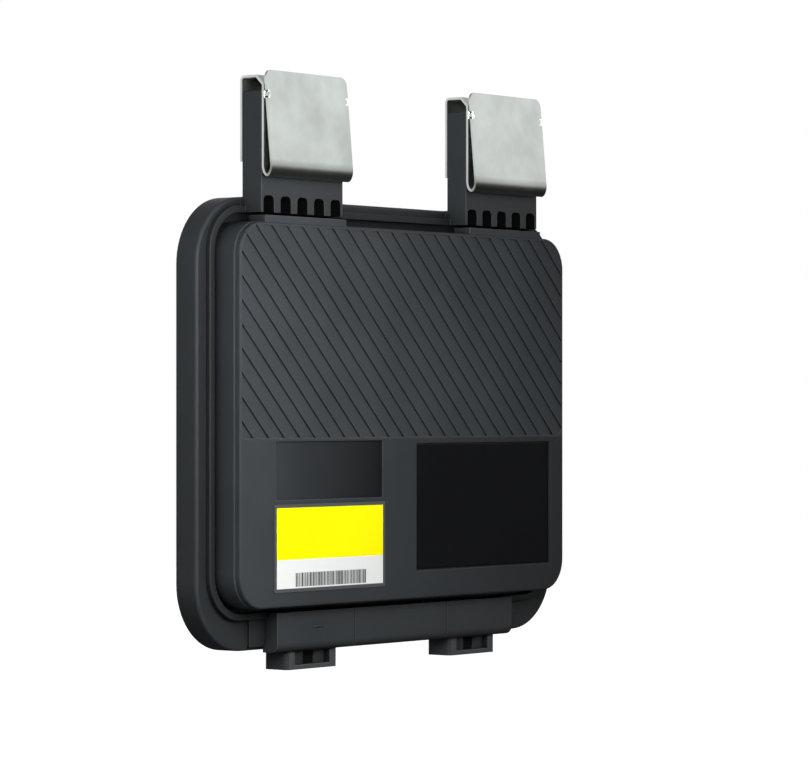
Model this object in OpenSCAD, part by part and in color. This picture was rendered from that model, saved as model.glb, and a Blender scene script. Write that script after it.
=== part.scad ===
// Power optimizer that hangs on the frame of a solar panel by two sprung clips.
// X runs to the right, Y to the rear and Z up. The origin is the centre of the flat rear face.
// A size called a depth place is counted from the rear face towards the front.

/* [Housing] */
// Width of the flange
flange_w = 138.4; // [134:0.2:146]
// Reach of the flange above the lid
flange_head = 5.85; // [5:0.05:8]
// Reach of the flange below the lid
flange_foot = 9.95; // [9:0.05:12]
// Corner radius of the flange
flange_r = 16; // [13:0.5:17]
// Thickness of the flange
flange_t = 6.2; // [5.2:0.1:7]
// Radius along the flange's front edge
flange_edge = 0.8; // [0.5:0.1:2]
// Depth of the pan behind the flange
pan_depth = 7.1; // [6:0.1:9]
// Step in from the flange's edge to the pan
pan_inset = 10.2; // [9.5:0.1:11]
// Radius along the pan's rear edge
pan_edge = 1; // [0.5:0.1:1.5]
// Wall of the housing
wall = 2; // [1.6:0.1:2.4]
// Height of the ring round the lid above the flange
ring_rise = 1.5; // [1:0.1:2]
// Width of the ring's top
ring_w = 1.6; // [1.4:0.1:2]
// Radius along the ring's outer edge
ring_edge = 0.3; // [0.2:0.1:0.9]
// Open groove between the ring and the lid, at the sides and below
ring_gap = 1.2; // [0.8:0.1:1.5]
// The same groove above the lid, where it is wider
ring_top_gap = 2.2; // [1.8:0.1:2.6]
// Depth of the channel below the flange's front face
channel_d = 2; // [1.6:0.1:2.6]

/* [Lid] */
// Width of the lid
lid_w = 126.8; // [124:0.2:130]
// Height of the lid
lid_h = 89.6; // [88:0.1:92]
// Corner radius of the lid
lid_r = 8; // [7:0.2:10]
// Lid's front face above the flange's front face
lid_proud = 8.05; // [7.8:0.05:10]
// Thickness of the lid's front
lid_t = 2; // [1.8:0.1:2.5]
// Thickness of the lid's skirt
skirt_t = 1.8; // [1.4:0.1:2.2]
// Radius along the lid's front edge
lid_edge = 0.5; // [0.3:0.1:1]
// Step in the lid's side, square to the side
lid_step = 0.2; // [0.1:0.05:0.4]
// Step's place behind the lid's front face
lid_step_back = 1.7; // [1.2:0.1:3]
// Rise of the lid's tabs before the arms
tab_rise = 1.5; // [1:0.1:1.7]
// Thickness of the bead that seals the lid
seal_t = 1; // [0.6:0.1:1.2]

/* [Striped field] */
// Distance from one stripe to the next, square to the stripes
stripe_pitch = 3.95; // [3.5:0.05:6]
// First stripe's place before the field's lower left corner
stripe_shift = 1; // [0:0.1:3.4]
// Depth of each stripe's step
stripe_d = 0.35; // [0.3:0.05:0.8]
// Plain margin above the stripes
stripe_margin = 0.8; // [0.6:0.1:2]
// Height of the plain field below the stripes
plain_field_h = 39.5; // [37:0.1:44]

/* [Labels and recesses] */
// Width of the bare recess
badge_w = 39.4; // [36:0.2:44]
// Height of the bare recess
badge_h = 13.6; // [12:0.2:15]
// Depth of the bare recess
badge_d = 0.4; // [0.2:0.1:0.7]
// Gap between the striped field and the recesses
badge_drop = 0.8; // [0.5:0.1:1.2]
// Side margin from the lid's edge to the bare recess
badge_margin = 12.9; // [10:0.2:14]
// Height of the product label
label_h = 20.4; // [18:0.1:21]
// Height of the label's white lower part, with its margin
label_white_h = 7.5; // [5:0.1:9]
// Clear margin round the label's print
label_margin = 0.8; // [0.4:0.1:1.2]
// Gap between the bare recess and the label
label_gap = 1; // [0.6:0.1:1.4]
// Thickness of the labels
label_t = 0.2; // [0.1:0.05:0.3]
// Width of the rating label
rating_w = 55.2; // [50:0.1:57]
// Height of the rating label
rating_h = 31; // [27:0.2:32]
// Depth of the rating label's recess
rating_d = 0.5; // [0.4:0.1:0.8]
// Side margin from the lid's edge to the rating label
rating_margin = 6; // [4:0.1:7]

/* [Arms] */
// Distance between the two arms, centre to centre
arm_spacing = 78; // [77:0.5:82]
// Width of each arm
arm_w = 29.6; // [27:0.1:30]
// Thickness of each arm
arm_t = 5.8; // [5.2:0.1:6.2]
// Arm's front face behind the lid's front face
arm_back = 1.65; // [1:0.05:1.9]
// Arm's top above the flange's top edge
arm_h = 24.3; // [22:0.1:27]
// Slots at the root of each arm
slot_count = 5; // [3:1:6]
// Width of each slot
slot_w = 3.8; // [3:0.1:4.2]
// Distance from slot to slot
slot_pitch = 6.1; // [5.6:0.1:6.2]
// Height of each slot
slot_h = 3.9; // [3.4:0.1:5]
// Radius of a slot's upper corners
slot_r = 1.2; // [0.5:0.1:1.4]
// Depth of each slot
slot_d = 6; // [5:0.1:8]

/* [Frame clips] */
// Thickness of the clip's sheet
clip_t = 0.6; // [0.4:0.05:0.8]
// Reach of the clip's rear leg below the arm's top
clip_rear_drop = 16.1; // [12:0.1:18]
// Reach of the clip's front bend below the arm's top
clip_front_drop = 19.8; // [18:0.1:21]
// Height of the hook above the arm's top
hook_rise = 3.8; // [2.6:0.1:4.5]
// Distance across the bend at the clip's foot, between the sheet's middles
bend_w = 2.55; // [2.2:0.05:3]
// Height of the bend's round, from its lowest point
bend_h = 2.4; // [1.5:0.1:3]
// Lean of the flap back towards the arm
flap_lean = 1.8; // [1.4:0.05:1.85]
// Flap's top above the arm's top
flap_rise = 4.9; // [4.5:0.1:6]
// Radius of the flap's top corners
flap_r = 2.2; // [2:0.1:4]
// Depth of the notch in each edge of the flap
barb_d = 1; // [0.8:0.1:2]
// Middle of the notch above the arm's top
barb_rise = 2; // [1:0.1:2.6]
// Height of the notch in each edge of the flap
barb_h = 1.4; // [1:0.1:2.5]

/* [Cable end] */
// Width of the bar of covers below the lid
bar_w = 91.7; // [88:0.1:94]
// Width of the middle cover
bar_middle_w = 35.6; // [33:0.1:37]
// Offset of the middle cover from the bar's middle, towards the right
bar_shift = 0.8; // [0:0.1:1.8]
// Height of the bar above the flange's front face
bar_proud = 4.5; // [4:0.1:5.5]
// Shadow gap between the lid and the bar
bar_gap = 1.3; // [1:0.1:2]
// Reach of the bar below the flange's lower edge
bar_drop = 0.7; // [0.4:0.1:1]
// Radius along the bar's lower front edge
bar_edge = 2; // [1:0.1:3]
// Distance between the two lugs, centre to centre
lug_spacing = 62.6; // [61:0.2:64]
// Offset of the lugs towards the right
lug_shift = 0.7; // [0:0.1:1]
// Width of each lug
lug_w = 18.8; // [17:0.1:19]
// Thickness of each lug
lug_t = 7.4; // [7:0.1:8]
// Reach of each lug below the flange's lower edge
lug_drop = 5.1; // [4.5:0.1:6]
// Reach of each lug into its seat above the bar's lower edge
lug_seat = 4.5; // [4:0.1:4.8]
// Corner radius of each lug
lug_r = 1.4; // [1:0.1:2.4]
// Distance between the two cable entries of a lug
cable_pitch = 8; // [7.6:0.1:8.2]
// Radius of a cable
cable_r = 2.5; // [2.4:0.05:2.9]
// Wall of the rubber sleeve in each cable entry
sleeve_t = 0.5; // [0.4:0.05:0.7]
// Length of the rubber sleeve
sleeve_l = 7; // [5:0.1:8]
// Width of the window in each lug's front
window_w = 13; // [9:0.1:14]
// Height of the window in each lug's front
window_h = 3.2; // [2.5:0.1:3.4]
// Offset of the window from the lug's middle, towards the left
window_shift = 0.2; // [0:0.1:1.6]
// Width of the pad beside each end of the bar
pad_w = 5.5; // [4:0.1:6]
// Height of that pad above the flange
pad_rise = 0.8; // [0.4:0.1:1.2]

/* [Electronics] */
// Room between the circuit board's edges and the chamber
board_gap = 4; // [3:0.1:6]
// Thickness of the circuit board
board_t = 1.6; // [1:0.1:2]
// Height of the board above the housing's floor
board_up = 6; // [5.5:0.1:6.5]
// Radius of the board screws
screw_r = 1.5; // [1.2:0.1:1.8]
// Inset of the board screws from the board's edges
screw_inset = 4; // [3.5:0.1:5]
// Side of the power inductor's square core
core_w = 26; // [22:0.5:28]
// Height of the power inductor
core_h = 6.6; // [5.5:0.1:6.8]
// Outer radius of the coupling core
toroid_r = 9; // [8:0.1:10]
// Height of the coupling core
toroid_h = 5; // [4:0.1:5.4]
// Radius of each input capacitor
can_r = 3.2; // [2.5:0.1:3.6]
// Height of each input capacitor
can_h = 6.2; // [5:0.1:6.6]
// Width of the heat spreader
spreader_w = 60; // [50:0.5:64]
// Height of the heat spreader
spreader_h = 26; // [22:0.5:28]
// Thickness of the heat spreader
spreader_t = 1.5; // [1:0.1:2]
// Thickness of the thermal pad
gap_pad_t = 1; // [0.5:0.1:1.2]

/* [Hidden] */
$fn = 64;

// Clearance between pieces that seat in each other
fit = 0.1;
// Overrun of cuts past the faces they open
over = 1;

// Depth places of the flange, the lid and the pieces between them
flange_front = pan_depth + flange_t;
lid_front = flange_front + lid_proud;
lid_inner = lid_front - lid_t;
channel_floor = flange_front - channel_d;
lid_rim = channel_floor + seal_t;
arm_front = lid_front - arm_back;
arm_rear = arm_front - arm_t;

// Heights of edges that several pieces share
flange_h = lid_h + flange_head + flange_foot;
lid_lift = (flange_foot - flange_head) / 2;
flange_top = flange_h / 2;
flange_low = -flange_top;
lid_top = lid_lift + lid_h / 2;
lid_low = lid_lift - lid_h / 2;
arm_top = flange_top + arm_h;
stripe_top = lid_top - stripe_margin;
stripe_low = lid_low + plain_field_h;
stripe_field_h = stripe_top - stripe_low;

// Inner wall that carries the lid, and the chamber inside it
rim_gap = 0.25;
rim_out_w = lid_w - 2 * (skirt_t + rim_gap);
rim_out_h = lid_h - 2 * (skirt_t + rim_gap);
rim_out_r = lid_r - skirt_t - rim_gap;
rim_clear = 0.6;
chamber_w = flange_w - 2 * (pan_inset + wall);
chamber_h = rim_out_h - 2 * wall;
chamber_up = min(flange_top - pan_inset - wall, lid_lift + chamber_h / 2);
chamber_down = lid_lift - chamber_h / 2;
chamber_mid = (chamber_up + chamber_down) / 2;
chamber_r = 4;

// Cable end
bar_top = lid_low - bar_gap;
bar_low = flange_low - bar_drop;
bar_front = flange_front + bar_proud;
seam = 0.3;
seam_left = bar_shift - bar_middle_w / 2;
seam_right = bar_shift + bar_middle_w / 2;
lug_back = 1.9;
lug_front = bar_front - lug_back;
entry_r = cable_r + sleeve_t + fit / 2;
entry_depth = lug_front - lug_t / 2;
ring_low = lid_low - ring_gap - ring_w;
lug_low = flange_low - lug_drop;
lug_top = bar_low + lug_seat;

// Board places
board_rear = wall + board_up;
board_face = board_rear + board_t;
board_z = chamber_mid;
board_w = chamber_w - 2 * board_gap;
board_h = chamber_up - chamber_down - 2 * board_gap;

// A flat shape drawn in X and Z, raised towards the front from a depth place
module raise(from, t) {
    translate([0, -from, 0])
        rotate([90, 0, 0])
            linear_extrude(t)
                children();
}

// Four corners of a rectangle
module corners(w, h) {
    for (x = [-w / 2, w / 2], z = [-h / 2, h / 2]) {
        translate([x, z])
            children();
    }
}

// A rectangle with round corners
module round_rect(w, h, r) {
    square([w - 2 * r, h], center = true);
    square([w, h - 2 * r], center = true);
    corners(w - 2 * r, h - 2 * r)
        circle(r);
}

// A ring between two such rectangles
module ring_shape(w, h, r, ring) {
    difference() {
        round_rect(w + 2 * ring, h + 2 * ring, r + ring);
        round_rect(w, h, r);
    }
}

// Section through the edge of a slab, square at the rear and round at the front
module edge_section(r, t, edge) {
    square([r, t - edge]);
    square([r - edge, t]);
    translate([r - edge, t - edge])
        intersection() {
            circle(edge);
            square(edge);
        }
}

// A slab with round corners and a round front edge, from a depth place
module soft_slab(from, w, h, r, t, edge) {
    in_w = w - 2 * r;
    in_h = h - 2 * r;
    translate([0, -from, 0])
        rotate([90, 0, 0]) {
            linear_extrude(t)
                square([in_w, in_h], center = true);
            for (turn = [0, 1, 2, 3]) {
                odd = turn % 2;
                along = odd == 0 ? in_h : in_w;
                out = odd == 0 ? in_w / 2 : in_h / 2;
                rotate([0, 0, 90 * turn]) {
                    translate([out, along / 2, 0])
                        rotate([90, 0, 0])
                            linear_extrude(along)
                                edge_section(r, t, edge);
                    translate([out, along / 2, 0])
                        rotate_extrude(angle = 90)
                            edge_section(r, t, edge);
                }
            }
        }
}

// The same thing twice, left and right
module both_sides(spacing) {
    for (x = [-spacing / 2, spacing / 2]) {
        translate([x, 0, 0])
            children();
    }
}

// Places of the lugs
module at_lugs() {
    translate([lug_shift, 0, 0])
        both_sides(lug_spacing)
            children();
}

// Places of the cable entries
module at_entries() {
    at_lugs()
        both_sides(cable_pitch)
            translate([0, -entry_depth, 0])
                children();
}

// One mounting arm with its row of slots
module arm() {
    root_low = lid_top + ring_top_gap;
    difference() {
        union() {
            translate([-arm_w / 2, -arm_front, root_low])
                cube([arm_w, arm_t, arm_top - root_low]);
            translate([-arm_w / 2, -arm_front, root_low])
                cube([arm_w, arm_front - flange_front + flange_t / 2, flange_top - root_low]);
        }
        for (i = [0 : slot_count - 1]) {
            x = (i - (slot_count - 1) / 2) * slot_pitch;
            translate([x, -arm_front - over, root_low - over])
                slot();
        }
    }
}

// A slot with round upper corners, cut from the front
module slot() {
    straight = slot_h - slot_r + over;
    across = slot_w - 2 * slot_r;
    translate([-slot_w / 2, 0, 0])
        cube([slot_w, slot_d + over, straight]);
    translate([-across / 2, 0, 0])
        cube([across, slot_d + over, slot_h + over]);
    both_sides(across)
        translate([0, 0, straight])
            rotate([-90, 0, 0])
                cylinder(r = slot_r, h = slot_d + over);
}

// The outside of a lug, grown for its seat
module lug_shape(grow) {
    translate([0, lug_t / 2 - lug_front, lug_low - grow])
        linear_extrude(lug_top - lug_low + 2 * grow)
            round_rect(lug_w + 2 * grow, lug_t + 2 * grow, lug_r + grow);
}

// A block that holds a pair of cables, with a window in its front
module lug() {
    sill = 1.1;
    window_d = 1.6;
    color("dimgray")
        difference() {
            lug_shape(0);
            both_sides(cable_pitch)
                translate([0, -entry_depth, lug_low - over])
                    cylinder(r = entry_r, h = lug_top - lug_low + 2 * over);
            translate([-window_w / 2 - window_shift, -lug_front - over, lug_low + sill])
                cube([window_w, window_d + over, window_h]);
        }
}

module cable_lug_left() {
    translate([lug_shift - lug_spacing / 2, 0, 0])
        lug();
}

module cable_lug_right() {
    translate([lug_shift + lug_spacing / 2, 0, 0])
        lug();
}

// Pegs of the covers, given as places along the bar
module pegs(places, r, l) {
    for (x = places) {
        translate([x, -flange_front + l, (bar_top + bar_low) / 2])
            rotate([90, 0, 0])
                cylinder(r = r, h = l + over);
    }
}

peg_r = 0.9;
peg_l = 2.5;
peg_inset = 1.5;
left_pegs = [-bar_w / 2 + peg_inset, seam_left - seam - peg_inset];
middle_pegs = [seam_left + peg_inset, seam_right - peg_inset];
right_pegs = [seam_right + seam + peg_inset, bar_w / 2 - peg_inset];

// Bosses that carry the circuit board
boss_r = 2 * screw_r;
boss_w = board_w - 2 * screw_inset;
boss_h = board_h - 2 * screw_inset;
module at_screws() {
    for (x = [-boss_w / 2, 0, boss_w / 2], z = [-boss_h / 2, boss_h / 2]) {
        translate([x, 0, board_z + z])
            children();
    }
}

// Leads cross the housing's lower wall behind the lid's channel
lead_w = 3;
lead_t = 0.8;
lead_bend = ring_low - 2 * lead_t;
lead_low = lead_bend - 2 * lead_t;
lead_depth = board_rear - lead_t / 2;
lead_top = board_z - board_h / 2 + 2 * lead_t;

// A strip from a cable entry back and up to the rear of the board, grown for its clearance
module lead(grow) {
    half = lead_t / 2 + grow;
    fore = entry_depth + half;
    aft = lead_depth - half;
    rotate([90, 0, 90])
        linear_extrude(lead_w + 2 * grow, center = true)
            mirror([1, 0])
                polygon([
                    [fore, lead_low - grow], [fore, lead_bend + half],
                    [lead_depth + half, lead_bend + half], [lead_depth + half, lead_top + grow],
                    [aft, lead_top + grow], [aft, lead_bend - half],
                    [entry_depth - half, lead_bend - half], [entry_depth - half, lead_low - grow]]);
}

// Small pads on the flange beside the bar
module bar_pads() {
    pad_low = flange_low + flange_edge;
    for (side = [0, 1]) {
        mirror([side, 0, 0])
            translate([bar_w / 2 + 2 * fit, -flange_front - pad_rise, pad_low])
                cube([pad_w, pad_rise + over, ring_low - pad_low + fit]);
    }
}

// The pan behind the flange, with a round rear edge
module pan() {
    w = flange_w - 2 * pan_inset;
    h = flange_h - 2 * pan_inset;
    mirror([0, 1, 0])
        soft_slab(-pan_depth - over, w, h, flange_r / 2, pan_depth + over, pan_edge);
}

// Groove between the lid and the ring, as the ring's inner outline
groove_w = lid_w + 2 * ring_gap;
groove_h = lid_h + ring_gap + ring_top_gap;
groove_r = lid_r + ring_gap;
groove_mid = lid_lift + (ring_top_gap - ring_gap) / 2;

// The moulded housing
module base_housing() {
    color("dimgray")
        difference() {
            union() {
                soft_slab(pan_depth, flange_w, flange_h, flange_r, flange_t, flange_edge);
                pan();
                translate([0, 0, groove_mid])
                    soft_slab(flange_front - over, groove_w + 2 * ring_w, groove_h + 2 * ring_w,
                        groove_r + ring_w, ring_rise + over, ring_edge);
                both_sides(arm_spacing)
                    arm();
                bar_pads();
            }
            // Channel for the lid's skirt, and the room inside it
            raise(channel_floor, channel_d + over)
                difference() {
                    translate([0, groove_mid])
                        round_rect(groove_w, groove_h, groove_r);
                    translate([0, lid_lift])
                        round_rect(rim_out_w, rim_out_h, rim_out_r);
                }
            raise(flange_front, ring_rise + over)
                translate([0, groove_mid])
                    round_rect(groove_w, groove_h, groove_r);
            // Chamber
            translate([0, 0, chamber_mid])
                raise(wall, lid_front)
                    round_rect(chamber_w, chamber_up - chamber_down, chamber_r);
            // Bed of the covers, seats of their pegs and of the lugs
            translate([-bar_w / 2 - fit, -bar_front, bar_low - fit])
                cube([bar_w + 2 * fit, bar_proud, bar_top - bar_low + 2 * fit]);
            pegs(concat(left_pegs, middle_pegs, right_pegs), peg_r + fit, peg_l + fit);
            at_lugs()
                lug_shape(fit);
            at_lugs()
                both_sides(cable_pitch)
                    lead(fit);
        }
    color("dimgray")
        inner_wall();
    color("dimgray")
        at_screws()
            boss();
}

// Wall inside the lid's skirt
module inner_wall() {
    difference() {
        translate([0, 0, lid_lift])
            raise(channel_floor, lid_inner - rim_clear - channel_floor)
                round_rect(rim_out_w, rim_out_h, rim_out_r);
        translate([0, 0, chamber_mid])
            raise(wall, lid_front)
                round_rect(chamber_w, chamber_up - chamber_down, chamber_r);
    }
}

// Boss with a screw hole
module boss() {
    raise(wall - fit, board_up + fit)
        difference() {
            circle(boss_r);
            circle(screw_r);
        }
}

// Prisms that cut the stripes, each deepest along its upper right edge
module stripe_cuts(w, h) {
    length = w + h;
    count = ceil((length / sqrt(2) + stripe_shift) / stripe_pitch);
    translate([-w / 2, -lid_front, -h / 2])
        rotate([0, -45, 0])
            rotate([180, 0, 0])
                for (i = [0 : count - 1]) {
                    translate([i * stripe_pitch - stripe_shift, 0, -length / 2])
                        linear_extrude(length)
                            polygon([[0, 0], [0, over], [stripe_pitch, over], [stripe_pitch, -stripe_d]]);
                }
}

// Places of the recesses in the lid's lower field
badge_x = -lid_w / 2 + badge_margin + badge_w / 2;
badge_top = stripe_low - badge_drop;
label_top = badge_top - badge_h - label_gap;
label_w = badge_w + 2 * label_margin;
rating_x = lid_w / 2 - rating_margin - rating_w / 2;
rating_top = badge_top - badge_drop;

// A flat window for a recess or a label, hung from its upper edge
module panel(x, top, w, h, from, t) {
    translate([x, 0, top - h / 2])
        raise(from, t)
            square([w, h], center = true);
}

// The moulded lid
module front_lid() {
    color("dimgray")
        difference() {
            union() {
                translate([0, 0, lid_lift]) {
                    soft_slab(lid_rim, lid_w, lid_h, lid_r, lid_front - lid_step_back - lid_rim, lid_step / 2);
                    soft_slab(lid_rim, lid_w - 2 * lid_step, lid_h - 2 * lid_step, lid_r - lid_step,
                        lid_front - lid_rim, lid_edge);
                }
                both_sides(arm_spacing)
                    lid_tab();
            }
            translate([0, 0, lid_lift])
                raise(lid_rim - over, lid_inner - lid_rim + over)
                    round_rect(lid_w - 2 * skirt_t, lid_h - 2 * skirt_t, lid_r - skirt_t);
            striped_field();
            panel(badge_x, badge_top, badge_w, badge_h, lid_front - badge_d, badge_d + over);
            panel(rating_x, rating_top, rating_w, rating_h, lid_front - rating_d, rating_d + over);
        }
}

// Tab of the lid that covers an arm's root
module lid_tab() {
    tab_d = arm_front - flange_front - ring_rise;
    translate([-arm_w / 2, -lid_front + lid_edge, lid_top - lid_edge])
        cube([arm_w, tab_d, tab_rise + lid_edge]);
}

module striped_field() {
    side = lid_step + lid_edge + fit;
    field_w = lid_w - 2 * side;
    mid = (stripe_top + stripe_low) / 2;
    intersection() {
        translate([0, 0, mid])
            stripe_cuts(field_w, stripe_field_h);
        translate([0, 0, lid_lift])
            raise(lid_inner, lid_t + over)
                round_rect(field_w, lid_h - 2 * stripe_margin, lid_r - side);
        translate([0, 0, mid])
            raise(lid_inner, lid_t + over)
                square([field_w, stripe_field_h], center = true);
    }
}

// Bead in the channel, under the skirt
module lid_seal() {
    color("black")
        translate([0, 0, lid_lift])
            raise(channel_floor, seal_t)
                ring_shape(lid_w - 2 * skirt_t, lid_h - 2 * skirt_t, lid_r - skirt_t, skirt_t);
}

// A cover of the cable end from one place along the bar to another
module cover(from, to, peg_places) {
    w = to - from;
    h = bar_top - bar_low;
    color("dimgray")
        difference() {
            union() {
                translate([from, 0, 0])
                    rotate([90, 0, 90])
                        linear_extrude(w)
                            cover_section(h);
                pegs(peg_places, peg_r, peg_l);
            }
            at_lugs()
                lug_shape(fit);
        }
}

module cover_section(h) {
    translate([-bar_front, bar_low + bar_edge])
        square([bar_proud, h - bar_edge]);
    translate([-bar_front + bar_edge, bar_low])
        square([bar_proud - bar_edge, h]);
    translate([-bar_front + bar_edge, bar_low + bar_edge])
        circle(bar_edge);
}

module cable_clamp_left() {
    cover(-bar_w / 2, seam_left - seam, left_pegs);
}

module cable_cover_middle() {
    cover(seam_left, seam_right, middle_pegs);
}

module cable_clamp_right() {
    cover(seam_right + seam, bar_w / 2, right_pegs);
}

// Middle line of the clip's sheet as depth and height, from the rear leg over the hook to the flap's lip
function arc(mid, r, rise, from, to, steps) =
    [for (i = [0 : steps]) let (a = from + (to - from) * i / steps) mid + [r * cos(a), rise * sin(a)]];

clip_rear = arm_rear - fit - clip_t / 2;
clip_front = arm_front + fit + clip_t / 2;
hook_top = arm_top + hook_rise - clip_t / 2;
hook_r = 0.8;
hook_slope = 2;
bend_r = bend_w / 2;
bend_z = arm_top - clip_front_drop + bend_h + clip_t / 2;
flap_foot = clip_front + bend_w;
flap_top = arm_top + flap_rise;
lip_z = arm_top + barb_rise;
lip_flare = 0.1;
clip_path = concat(
    [[clip_rear, arm_top - clip_rear_drop]],
    arc([clip_rear + hook_r, hook_top - hook_r], hook_r, hook_r, 180, 90, 4),
    [[clip_front - hook_slope, hook_top], [clip_front, hook_top - hook_slope]],
    arc([clip_front + bend_r, bend_z], bend_r, bend_h, 180, 360, 12),
    [[flap_foot - flap_lean, lip_z], [flap_foot - flap_lean + lip_flare, flap_top]]);

// Outline of a bent sheet, mitred at the bends of its middle line
function square_to(a, b) = let (d = (b - a) / norm(b - a)) [-d[1], d[0]];
function beside(path, i, off) =
    let (
        last = len(path) - 1,
        before = square_to(path[max(i - 1, 0)], path[max(i, 1)]),
        after = square_to(path[min(i, last - 1)], path[min(i + 1, last)])
    ) path[i] + off * (before + after) / (1 + before * after);
function sheet(path, t) = concat(
    [for (i = [0 : len(path) - 1]) beside(path, i, t / 2)],
    [for (i = [len(path) - 1 : -1 : 0]) beside(path, i, -t / 2)]);

module frame_clip() {
    flap_clear = clip_front + clip_t / 2;
    difference() {
        translate([-arm_w / 2, 0, 0])
            rotate([90, 0, 90])
                linear_extrude(arm_w)
                    mirror([1, 0])
                        polygon(sheet(clip_path, clip_t));
        for (side = [0, 1]) {
            mirror([side, 0, 0]) {
                translate([arm_w / 2 - flap_r, 0, flap_top - flap_r])
                    raise(arm_front + fit, lid_front)
                        corner_cut();
                translate([arm_w / 2 - barb_d, -lid_front - bend_w, arm_top + barb_rise - barb_h / 2])
                    cube([barb_d + over, lid_front + bend_w - flap_clear + fit / 2, barb_h]);
            }
        }
    }
}

// What rounds a corner of the flap
module corner_cut() {
    difference() {
        square(flap_r + over);
        circle(flap_r);
    }
}

module frame_clip_left() {
    color("silver")
        translate([-arm_spacing / 2, 0, 0])
            frame_clip();
}

module frame_clip_right() {
    color("silver")
        translate([arm_spacing / 2, 0, 0])
            frame_clip();
}

// One sticker, yellow above and white below
module product_label() {
    color("yellow")
        panel(badge_x, label_top, label_w, label_h - label_white_h, lid_front, label_t);
    color("white")
        panel(badge_x, label_top - label_h + label_white_h, label_w, label_white_h, lid_front, label_t);
}

module rating_label() {
    margin = label_margin / 2;
    color("black")
        panel(rating_x, rating_top - margin, rating_w - 2 * margin, rating_h - 2 * margin,
            lid_front - rating_d, label_t);
}

// Rubber sleeves that the cables pass through
module cable_seals() {
    sleeve_up = 0.5;
    color("black")
        at_entries() {
            translate([0, 0, lug_low + sleeve_up])
                linear_extrude(sleeve_l)
                    difference() {
                        circle(cable_r + sleeve_t);
                        circle(cable_r);
                    }
        }
}

// Strips that carry the current from the cables to the board
module lead_terminals() {
    color("goldenrod")
        at_lugs()
            both_sides(cable_pitch)
                lead(0);
}

module circuit_board() {
    color("darkgreen")
        difference() {
            translate([0, 0, board_z])
                raise(board_rear, board_t)
                    square([board_w, board_h], center = true);
            at_screws()
                raise(board_rear - over, board_t + 2 * over)
                    circle(screw_r + fit);
        }
}

// Six screws with flat round heads
module board_screws() {
    head_h = screw_r;
    color("silver")
        at_screws() {
            raise(board_face, head_h)
                circle(boss_r);
            raise(wall + fit, board_face - wall)
                circle(screw_r - fit);
        }
}

// Spreader that lies on the floor under the transistors
spreader_z = board_z + board_h / 6;
module heat_spreader() {
    color("lightgray")
        translate([0, 0, spreader_z])
            raise(wall, spreader_t)
                square([spreader_w, spreader_h], center = true);
}

module thermal_pad() {
    color("lightblue")
        translate([0, 0, spreader_z])
            raise(wall + spreader_t, gap_pad_t)
                square([spreader_w - 2 * gap_pad_t, spreader_h - 2 * gap_pad_t], center = true);
}

module power_transistors() {
    transistor_count = 4;
    pitch = spreader_w / transistor_count;
    body_share = 0.66;
    depth = wall + spreader_t + gap_pad_t;
    color("black")
        for (i = [0 : transistor_count - 1]) {
            translate([(i - (transistor_count - 1) / 2) * pitch, 0, spreader_z])
                raise(depth, board_rear - depth)
                    square([pitch * body_share, pitch * body_share], center = true);
        }
}

// Places on the front of the board, as shares of its size
core_share = [-0.28, 0.16];
toroid_share = [0.3, -0.26];
can_share = [0.16, 0.28];
chip_share = [-0.02, -0.1];
film_share = [-0.3, -0.3];
diode_share = [0.3, 0.02];
can_count = 4;

module on_board(share) {
    translate([share[0] * board_w, 0, board_z + share[1] * board_h])
        children();
}

winding_share = 0.4;
post_share = 0.2;
core_wall_share = 0.14;
module power_core() {
    plate = core_h * core_wall_share;
    color("gray")
        on_board(core_share) {
            raise(board_face, plate)
                square([core_w, core_w], center = true);
            raise(board_face + plate, core_h - 2 * plate) {
                circle(core_w * post_share);
                difference() {
                    square([core_w, core_w], center = true);
                    circle(core_w * winding_share + fit);
                }
            }
            raise(board_face + core_h - plate, plate)
                square([core_w, core_w], center = true);
        }
}

module power_winding() {
    plate = core_h * core_wall_share;
    color("peru")
        on_board(core_share)
            raise(board_face + plate + fit, core_h - 2 * plate - 2 * fit)
                difference() {
                    circle(core_w * winding_share);
                    circle(core_w * post_share + fit);
                }
}

// Toroid with a wire band on each half
wire_t = 0.8;
band_angle = 130;
ring_share = 0.55;
module toroid_section(grow) {
    inner = toroid_r * ring_share - grow;
    translate([inner, -grow])
        square([toroid_r + grow - inner, toroid_h - 2 * wire_t + 2 * grow]);
}

module at_toroid() {
    on_board(toroid_share)
        translate([0, -board_face - wire_t, 0])
            rotate([90, 0, 0])
                children();
}

module coupling_core() {
    color("darkslategray")
        at_toroid()
            rotate_extrude()
                toroid_section(0);
}

module coupling_winding() {
    color("peru")
        at_toroid()
            for (turn = [-band_angle / 2, 180 - band_angle / 2]) {
                rotate([0, 0, turn])
                    rotate_extrude(angle = band_angle)
                        difference() {
                            toroid_section(wire_t);
                            toroid_section(fit / 4);
                        }
            }
}

module input_capacitors() {
    can_gap = 1;
    color("silver")
        on_board(can_share)
            for (i = [0 : can_count - 1]) {
                translate([(i - 1) * (2 * can_r + can_gap), 0, 0])
                    raise(board_face, can_h)
                        circle(can_r);
            }
}

module output_capacitors() {
    film_w = core_w / 2;
    film_h = core_w / 4;
    color("saddlebrown")
        on_board(film_share)
            both_sides(film_w + film_h)
                raise(board_face, can_h)
                    square([film_w, film_h], center = true);
}

module bypass_diode() {
    diode_w = core_w / 2.5;
    color("black")
        on_board(diode_share)
            raise(board_face, 3 * board_t)
                square([diode_w, diode_w], center = true);
}

module controller_chip() {
    chip_w = core_w / 3;
    color("black")
        on_board(chip_share)
            raise(board_face, board_t)
                square([chip_w, chip_w], center = true);
}

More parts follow.
